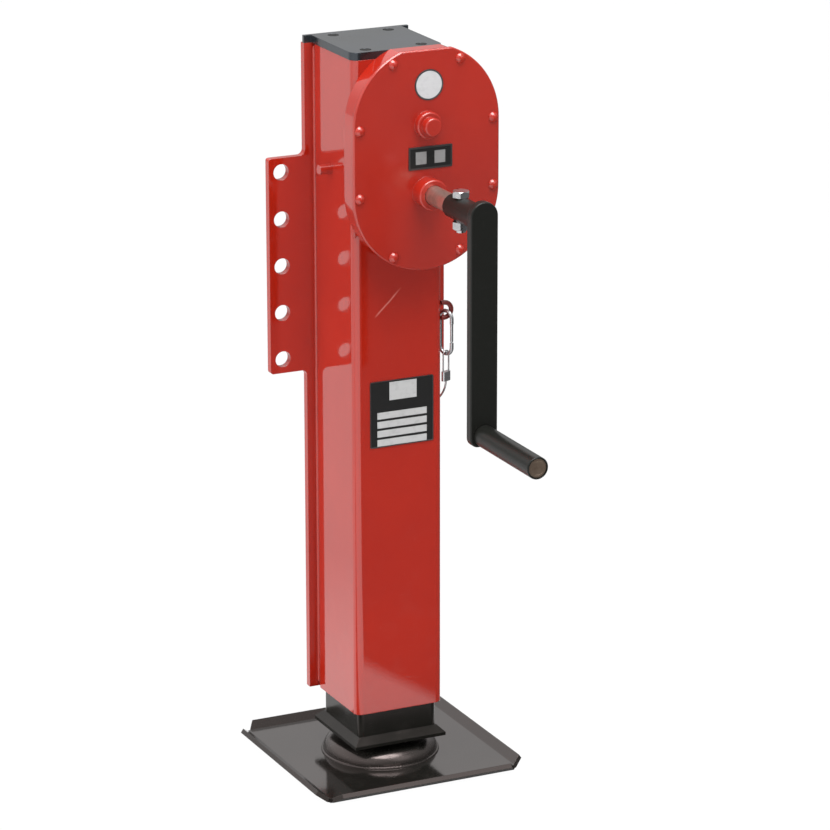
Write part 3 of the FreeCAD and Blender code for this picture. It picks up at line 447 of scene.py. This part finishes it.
def away_from_front(wiring, place):
    """Rises from 0 on the photographer's side of the studio to 1 behind the object."""
    return wiring.ramp(level_distance(wiring, place, STUDIO_WAY), STUDIO_DARK, STUDIO_LIGHT)


def studio_floor(name):
    """Pale floor, almost clear to the camera, that mirrors as a bright sheet."""
    material = bpy.data.materials.new(name)
    material.use_nodes = True
    wiring = Wiring(material.node_tree)
    camera, seen = seen_rays(wiring)
    place = wiring.node("ShaderNodeTexCoord", output="Object")
    y = wiring.part_of(place, 1)
    sheet = wiring.ramp(level_distance(wiring, place, SHEET_WAY), SHEET_DARK, SHEET_LIGHT)
    clear = wiring.ramp((y - NEAR_Y).size(), NEAR_HALF, NEAR_HALF + NEAR_FADE)
    glow = wiring.ramp(y, SHEET_FAR_Y, SHEET_CLOSE_Y) * SHEET_NEAR + SHEET_LEVEL - FRONT_LEVEL
    level = sheet * clear * glow + FRONT_LEVEL
    shine = wiring.node("ShaderNodeEmission", None, {"Color": WHITE, "Strength": level})
    through = wiring.node("ShaderNodeBsdfTransparent", None, {"Color": WHITE})
    matt = wiring.node("ShaderNodeBsdfDiffuse", None, {"Color": FLOOR_PALE})
    shown = wiring.mixed_shader(camera, shine, through)
    blend = wiring.mixed_shader(seen * FLOOR_GLOW, matt, shown)
    wiring.node("ShaderNodeOutputMaterial", None, {0: blend}, None)
    return material


def studio_sky():
    """White to the camera, and in reflections dimmer low down and in front.

    Its soft light, which reflections don't show, is strongest from the left.
    """
    world = bpy.data.worlds.new("studio")
    world.use_nodes = True
    wiring = Wiring(world.node_tree)
    camera, seen = seen_rays(wiring)
    way = wiring.node("ShaderNodeTexCoord", output="Generated")
    high = wiring.ramp(wiring.part_of(way, 2), SKY_LOW, SKY_HIGH) * 0.5 + 0.5
    mirrored = seen * (1.0 - camera) * high * (away_from_front(wiring, way) * 0.5 + 0.5)
    side = wiring.ramp(wiring.part_of(way, 0), SIDE_EDGE, SIDE_FULL)
    soft = (1.0 - seen) * (side * SIDE_LEVEL + SKY_LEVEL)
    strength = camera * BACKDROP + mirrored + soft
    sky = wiring.node("ShaderNodeBackground", None, {"Color": WHITE, "Strength": strength})
    wiring.node("ShaderNodeOutputWorld", None, {0: sky}, None)
    return world


def make_piece(name, bm, body, slot, *materials):
    """Turn a bmesh in millimetres into a piece in metres that rides on a body."""
    bmesh.ops.recalc_face_normals(bm, faces=bm.faces[:])
    bmesh.ops.scale(bm, vec=(MM, MM, MM), verts=bm.verts[:])
    mesh = bpy.data.meshes.new(name)
    bm.to_mesh(mesh)
    bm.free()
    mesh.shade_smooth()
    mesh.set_sharp_from_angle(angle=SMOOTH_ANGLE)
    for material in materials:
        mesh.materials.append(material)
    piece = bpy.data.objects.new(name, mesh)
    bpy.context.scene.collection.objects.link(piece)
    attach(piece, body)
    return piece


def absorb(bm, part):
    """Move one bmesh's faces into another."""
    carrier = bpy.data.meshes.new("carrier")
    part.to_mesh(carrier)
    part.free()
    bm.from_mesh(carrier)
    bpy.data.meshes.remove(carrier)


def verts_of(made):
    return [v for v in made if isinstance(v, bmesh.types.BMVert)]


def edges_of(made):
    return [e for e in made if isinstance(e, bmesh.types.BMEdge)]


def faces_of(made):
    return [f for f in made if isinstance(f, bmesh.types.BMFace)]


def round_off(bm, geom, width, affect, segments):
    bmesh.ops.bevel(bm, geom=geom, offset=width, affect=affect, segments=segments, profile=0.5, material=-1)


def put_on_front(bm, verts, place):
    bmesh.ops.transform(bm, matrix=Matrix.Translation(place) @ FRONT_FACING, verts=verts)


def sunk_face(bm, sheet, thick, rim, sink):
    """Thicken a flat face and sink a field into it, in slot 1, inside a rim in slot 0."""
    grown = bmesh.ops.extrude_face_region(bm, geom=sheet)["geom"]
    top, raised = faces_of(grown), verts_of(grown)
    bmesh.ops.translate(bm, vec=(0, 0, thick), verts=raised)
    bmesh.ops.inset_region(bm, faces=top, thickness=rim, depth=0.0)
    bmesh.ops.inset_region(bm, faces=top, thickness=GROOVE, depth=-sink)
    for face in top:
        face.material_index = 1


def framed_plate(bm, place, size, corner, rim):
    """Thin plate with round corners on a front face, with a raised rim and a sunk field."""
    made = bmesh.ops.create_grid(bm, x_segments=1, y_segments=1, size=0.5)["verts"]
    bmesh.ops.scale(bm, vec=(*size, 1.0), verts=made)
    round_off(bm, made, corner, "VERTICES", 4)
    sunk_face(bm, bm.faces[:], PLATE_THICK, rim, PLATE_SINK)
    put_on_front(bm, bm.verts[:], place)


def field(bm, place, size):
    """Blank printed field on a plate, in slot 2, with softened edges."""
    before = set(bm.faces)
    made = bmesh.ops.create_cube(bm, size=1.0)["verts"]
    bmesh.ops.scale(bm, vec=(*size, FIELD_THICK), verts=made)
    edges = list({e for v in made for e in v.link_edges})
    round_off(bm, edges, FIELD_THICK * 0.4, "EDGES", 1)
    new_faces = [f for f in bm.faces if f not in before]
    for face in new_faces:
        face.material_index = 2
    put_on_front(bm, list({v for f in new_faces for v in f.verts}), place)


def make_type_plate(silver, black, light):
    bm = bmesh.new()
    x, y, z = PLATE_PLACE
    framed_plate(bm, PLATE_PLACE, PLATE_SIZE, PLATE_CORNER, PLATE_RIM)
    field(bm, (x + MARK_OFFSET[0], y - FIELD_SINK, z + MARK_OFFSET[1]), MARK_FIELD)
    for row in range(ROWS):
        field(bm, (x + ROW_OFFSET[0], y - FIELD_SINK, z + ROW_OFFSET[1] - ROW_PITCH * row), ROW_FIELD)
    make_piece("type_plate", bm, "housing", "zinc", silver, black, light)


def make_gear_label(silver, black, grey):
    bm = bmesh.new()
    x, y, z = LABEL_PLACE
    framed_plate(bm, LABEL_PLACE, LABEL_SIZE, LABEL_CORNER, LABEL_RIM)
    for side in (-1, 1):
        field(bm, (x + side * LABEL_FIELD_X, y - FIELD_SINK, z), LABEL_FIELD)
    make_piece("gear_label", bm, "housing", "zinc", silver, black, grey)


def make_round_sign(rim, pale):
    bm = bmesh.new()
    bmesh.ops.create_circle(bm, cap_ends=True, segments=64, radius=SIGN_R)
    sunk_face(bm, bm.faces[:], SIGN_THICK, SIGN_RIM_W, SIGN_SINK)
    put_on_front(bm, bm.verts[:], SIGN_PLACE)
    make_piece("round_sign", bm, "housing", "zinc", rim, pale)


def weld_line(bm, low, high, radius, pitch):
    """Straight weld bead with overlapping ripples, from one point to another."""
    low, high = Vector(low), Vector(high)
    run = high - low
    rings = max(8, int(run.length / pitch) * 3)
    bead = bmesh.new()
    bmesh.ops.create_cone(bead, cap_ends=True, segments=10, radius1=radius, radius2=radius,
                          depth=run.length)
    long_edges = [e for e in bead.edges if abs(e.verts[0].co.z - e.verts[1].co.z) > run.length / 2]
    bmesh.ops.subdivide_edges(bead, edges=long_edges, cuts=rings, use_grid_fill=True)
    for v in bead.verts:
        step = v.co.z / pitch
        uneven = 0.05 * math.sin(1.7 * step) * math.sin(0.61 * step)
        swell = BEAD_THIN + BEAD_RIPPLE * abs(math.cos(math.pi * step)) + uneven
        end = min(1.0, (run.length / 2 - abs(v.co.z)) / (2 * radius) + 0.45)
        v.co.x *= swell * end
        v.co.y *= swell * end
    turn = run.to_track_quat("Z", "Y").to_matrix().to_4x4()
    middle = Matrix.Translation((low + high) / 2)
    bmesh.ops.transform(bead, matrix=middle @ turn, verts=bead.verts[:])
    absorb(bm, bead)


def weld_ring(bm, centre, axis, ring_radius, bead_radius, ripples):
    """Ring-shaped weld bead round an axis, with ripples."""
    bead = bmesh.new()
    made = bmesh.ops.create_circle(bead, segments=8, radius=bead_radius)["verts"]
    bmesh.ops.rotate(bead, matrix=Matrix.Rotation(math.pi / 2, 3, "X"), verts=made)
    bmesh.ops.translate(bead, vec=(ring_radius, 0, 0), verts=made)
    bmesh.ops.spin(bead, geom=bead.edges[:], axis=UP, cent=(0, 0, 0), angle=2 * math.pi,
                   steps=ripples * 3, use_merge=True)
    for v in bead.verts:
        angle = math.atan2(v.co.y, v.co.x)
        spine = Vector((ring_radius * math.cos(angle), ring_radius * math.sin(angle), 0))
        swell = BEAD_THIN + BEAD_RIPPLE * abs(math.cos(angle * ripples / 2)) + 0.06 * math.sin(angle * 5.0)
        v.co = spine + (v.co - spine) * swell
    turn = Vector(axis).to_track_quat("Z", "Y").to_matrix().to_4x4()
    bmesh.ops.transform(bead, matrix=Matrix.Translation(centre) @ turn, verts=bead.verts[:])
    absorb(bm, bead)


def make_welds(red, crank_black, foot_black):
    bm = bmesh.new()
    for side in (-1, 1):
        x, y = BACK_WELD
        ends = [(side * x, y, z) for z in BACK_WELD_Z]
        weld_line(bm, *ends, BACK_WELD_R, WELD_PITCH)
        x, y = FRONT_WELD
        ends = [(side * x, y, z) for z in FRONT_WELD_Z]
        weld_line(bm, *ends, FRONT_WELD_R, WELD_PITCH)
    make_piece("tube_welds", bm, "housing", "red_paint", red)
    bm = bmesh.new()
    weld_ring(bm, (GEAR_X, HUB_END_Y, CRANK_Z), FRONT, *HUB_WELD)
    make_piece("hub_weld", bm, "crank", "black_paint", crank_black)
    bm = bmesh.new()
    weld_ring(bm, (0, 0, SOCKET_WELD_Z), UP, *SOCKET_WELD)
    make_piece("socket_weld", bm, "foot", "black_paint", foot_black)


def make_lid_bolts(black):
    """Sunk cap screws of the lid, each with a hexagon recess, in the place of the plain heads."""
    bm = bmesh.new()
    for x, y in LID_SCREWS:
        before = set(bm.verts)
        bmesh.ops.create_circle(bm, cap_ends=True, segments=6, radius=HEX_R)
        socket = [e for e in bm.edges if e.verts[0] not in before]
        face = [f for f in bm.faces if f.verts[0] not in before]
        sunk = bmesh.ops.extrude_face_region(bm, geom=face)["geom"]
        bmesh.ops.translate(bm, vec=(0, 0, -HEX_DEEP), verts=verts_of(sunk))
        rim = bmesh.ops.create_circle(bm, segments=36, radius=HEAD_R)["verts"]
        ring = list({e for v in rim for e in v.link_edges})
        bmesh.ops.bridge_loops(bm, edges=ring + socket)
        skirt = bmesh.ops.extrude_edge_only(bm, edges=ring)["geom"]
        bmesh.ops.translate(bm, vec=(0, 0, -HEAD_EDGE), verts=verts_of(skirt))
        bmesh.ops.scale(bm, vec=(HEAD_FLARE, HEAD_FLARE, 1.0), verts=verts_of(skirt))
        wall = bmesh.ops.extrude_edge_only(bm, edges=edges_of(skirt))["geom"]
        bmesh.ops.translate(bm, vec=(0, 0, -HEAD_DEEP), verts=verts_of(wall))
        bmesh.ops.contextual_create(bm, geom=edges_of(wall))
        head = [v for v in bm.verts if v not in before]
        bmesh.ops.translate(bm, vec=(x, y, LID_TOP), verts=head)
    bolts = make_piece("lid_bolts", bm, "housing", "black_paint", black)
    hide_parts("lid_screws")


def make_lanyard(zinc):
    """Wire rope on the route's smooth line, from the hook that moves to the anchor that stays."""
    curve = bpy.data.curves.new("lanyard_line", "CURVE")
    curve.dimensions = "3D"
    curve.resolution_u = 24
    spline = curve.splines.new("NURBS")
    spline.points.add(len(LANYARD_ROUTE) - 1)
    for point, place in zip(spline.points, LANYARD_ROUTE):
        point.co = (*(c * MM for c in place), 1.0)
    spline.order_u = 3
    spline.use_endpoint_u = True
    curve.materials.append(zinc)
    line = bpy.data.objects.new("lanyard_line", curve)
    centre = bpy.data.meshes.new_from_object(line)
    bpy.data.meshes.remove(centre)
    curve.bevel_depth = LANYARD_D / 2 * MM
    curve.bevel_resolution = 5
    curve.use_fill_caps = True
    rope = bpy.data.objects.new("lanyard_rope", bpy.data.meshes.new_from_object(line))
    bpy.context.scene.collection.objects.link(rope)
    bpy.data.objects.remove(line)
    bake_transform(rope)
    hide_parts("lanyard")


def paint_nodes(looks):
    """Give each piece of the part its material."""
    groups = {
        "red": "mounting_plate gear_housing cover_screws block_pins lanyard_anchor",
        "cover": "gear_cover",
        "tube": "outer_tube",
        "dark": "hook_eye",
        "lid": "top_lid lid_screws",
        "crank": "crank_hub crank_arm grip_sleeve",
        "foot": "foot_plate",
        "leg": "inner_tube leg_flange",
        "socket": "foot_socket",
        "shaft": "crank_shaft",
        "steel_y": "second_shaft bevel_shaft grip_pin grip_clip",
        "steel_z": "spindle spacer_sleeve lock_nut ball_stud bearing_block "
                   "thrust_race_top thrust_race_low thrust_balls",
        "gear": "crank_pinion second_gear second_pinion last_gear bevel_pinion bevel_wheel",
        "zinc": "hub_bolt hub_nut hook_body hook_gate hook_loop hook_ferrule lanyard",
        "bronze": "shaft_bushes bevel_sleeve block_bush lifting_nut",
        "plastic": "ball_cup",
    }
    for key, names in groups.items():
        for name in names.split():
            slots = nodes[name].data.materials
            slots.clear()
            slots.append(looks[key])


def make_lamp(name, energy, place, aim, size):
    lamp = bpy.data.lights.new(name, "AREA")
    lamp.energy = energy
    lamp.shape = "DISK"
    lamp.size = size
    holder = bpy.data.objects.new(name, lamp)
    holder.location = place
    holder.rotation_euler = (Vector(aim) - Vector(place)).to_track_quat("-Z", "Y").to_euler()
    bpy.context.scene.collection.objects.link(holder)


def make_studio():
    scene = bpy.context.scene
    bm = bmesh.new()
    bmesh.ops.create_grid(bm, x_segments=1, y_segments=1, size=FLOOR_HALF)
    mesh = bpy.data.meshes.new("studio_floor")
    bm.to_mesh(mesh)
    bm.free()
    mesh.materials.append(studio_floor("studio_floor"))
    floor = bpy.data.objects.new("studio_floor", mesh)
    scene.collection.objects.link(floor)

    scene.world = studio_sky()
    scene.view_settings.view_transform = "Standard"
    for lamp in LAMPS:
        make_lamp(*lamp)

    lens = bpy.data.cameras.new("photo_camera")
    lens.sensor_width = SENSOR
    lens.lens = FOCAL_PIXELS / FRAME_PIXELS * SENSOR
    lens.clip_end = 60.0
    camera = bpy.data.objects.new("photo_camera", lens)
    camera.location = CAMERA_PLACE
    camera.rotation_euler = (math.pi / 2 - CAMERA_PITCH, CAMERA_ROLL, -CAMERA_YAW)
    scene.collection.objects.link(camera)
    scene.camera = camera


def make_paints():
    red = (RED, RED_DEEP, RED_DUSTY)
    satin = (BLACK_CRANK, BLACK_CRANK, BLACK_DUSTY)
    lid = (BLACK_LID, BLACK_CRANK, BLACK_DUSTY)
    foot = (BLACK_FOOT, BLACK_CRANK, BLACK_DUSTY)
    oxide = (OXIDE, OXIDE, BLACK_DUSTY)
    # Darker copy of the red paint, with more scuffs, for the hook eye
    dark_red = (RED_DARK, RED_DEEP, BLACK_DUSTY)
    return {
        "red": gloss_paint("red_gloss", *red, 0.03, 0.25, level=1.0),
        "cover": gloss_paint("red_gloss_cover", *red, 0.20, 0.04, level=1.0),
        "tube": gloss_paint("red_gloss_tube", *red, 0.03, 0.25, level=1.0, with_scratch_glint=True),
        "dark": gloss_paint("red_dark_scuffed", *dark_red, 0.30, 0.6, coat=0.2),
        "lid": gloss_paint("black_lid", *lid, 0.16, 0.4, tint=PALE_BLUE, level=0.8),
        "crank": gloss_paint("black_satin", *satin, 0.30, 0.3, level=0.30),
        "foot": gloss_paint("black_foot", *foot, 0.08, 0.5, coat=0.1, tint=PALE_WARM, level=0.8),
        "leg": gloss_paint("black_leg", *satin, 0.12, 0.4, tint=PALE_WARM, level=0.30),
        "socket": gloss_paint("black_socket", *foot, 0.22, 0.5, tint=PALE_WARM, level=1.0),
        "oxide": gloss_paint("black_oxide", *oxide, 0.55, 0.2, level=0.25),
    }


def main():
    looks = make_paints()
    looks["shaft"] = turned_steel("turned_steel_shaft", 1, STEEL_PALE, STEEL_BROWN, 0.8)
    looks["steel_y"] = turned_steel("turned_steel_across", 1, STEEL, STEEL_DARK, 0.8)
    looks["steel_z"] = turned_steel("turned_steel_upright", 2, GEAR_GREY, STEEL_DARK, 0.4)
    looks["gear"] = cut_gear_steel("gear_steel")
    looks["zinc"] = zinc_plate("zinc_plate")
    looks["bronze"] = turned_bronze("turned_bronze")
    looks["plastic"] = moulded_plastic("cup_plastic")
    silver = printed_face("label_silver", RIM_GREY, 1.0, 0.40)
    anodised = printed_face("label_black", LABEL_BLACK, 0.0, 0.30)
    light_field = printed_face("label_light", LABEL_LIGHT, 0.0, 0.45)
    grey_field = printed_face("label_grey", LABEL_GREY, 0.0, 0.45)
    sign_pale = printed_face("sign_pale", SIGN_PALE, 0.0, 0.35)
    sign_rim = printed_face("sign_rim", SIGN_RIM, 0.0, 0.35)
    paint_nodes(looks)
    make_studio()
    make_lanyard(looks["zinc"])
    make_type_plate(silver, anodised, light_field)
    make_gear_label(silver, anodised, grey_field)
    make_round_sign(sign_rim, sign_pale)
    make_welds(looks["red"], looks["crank"], looks["socket"])
    make_lid_bolts(looks["oxide"])


main()
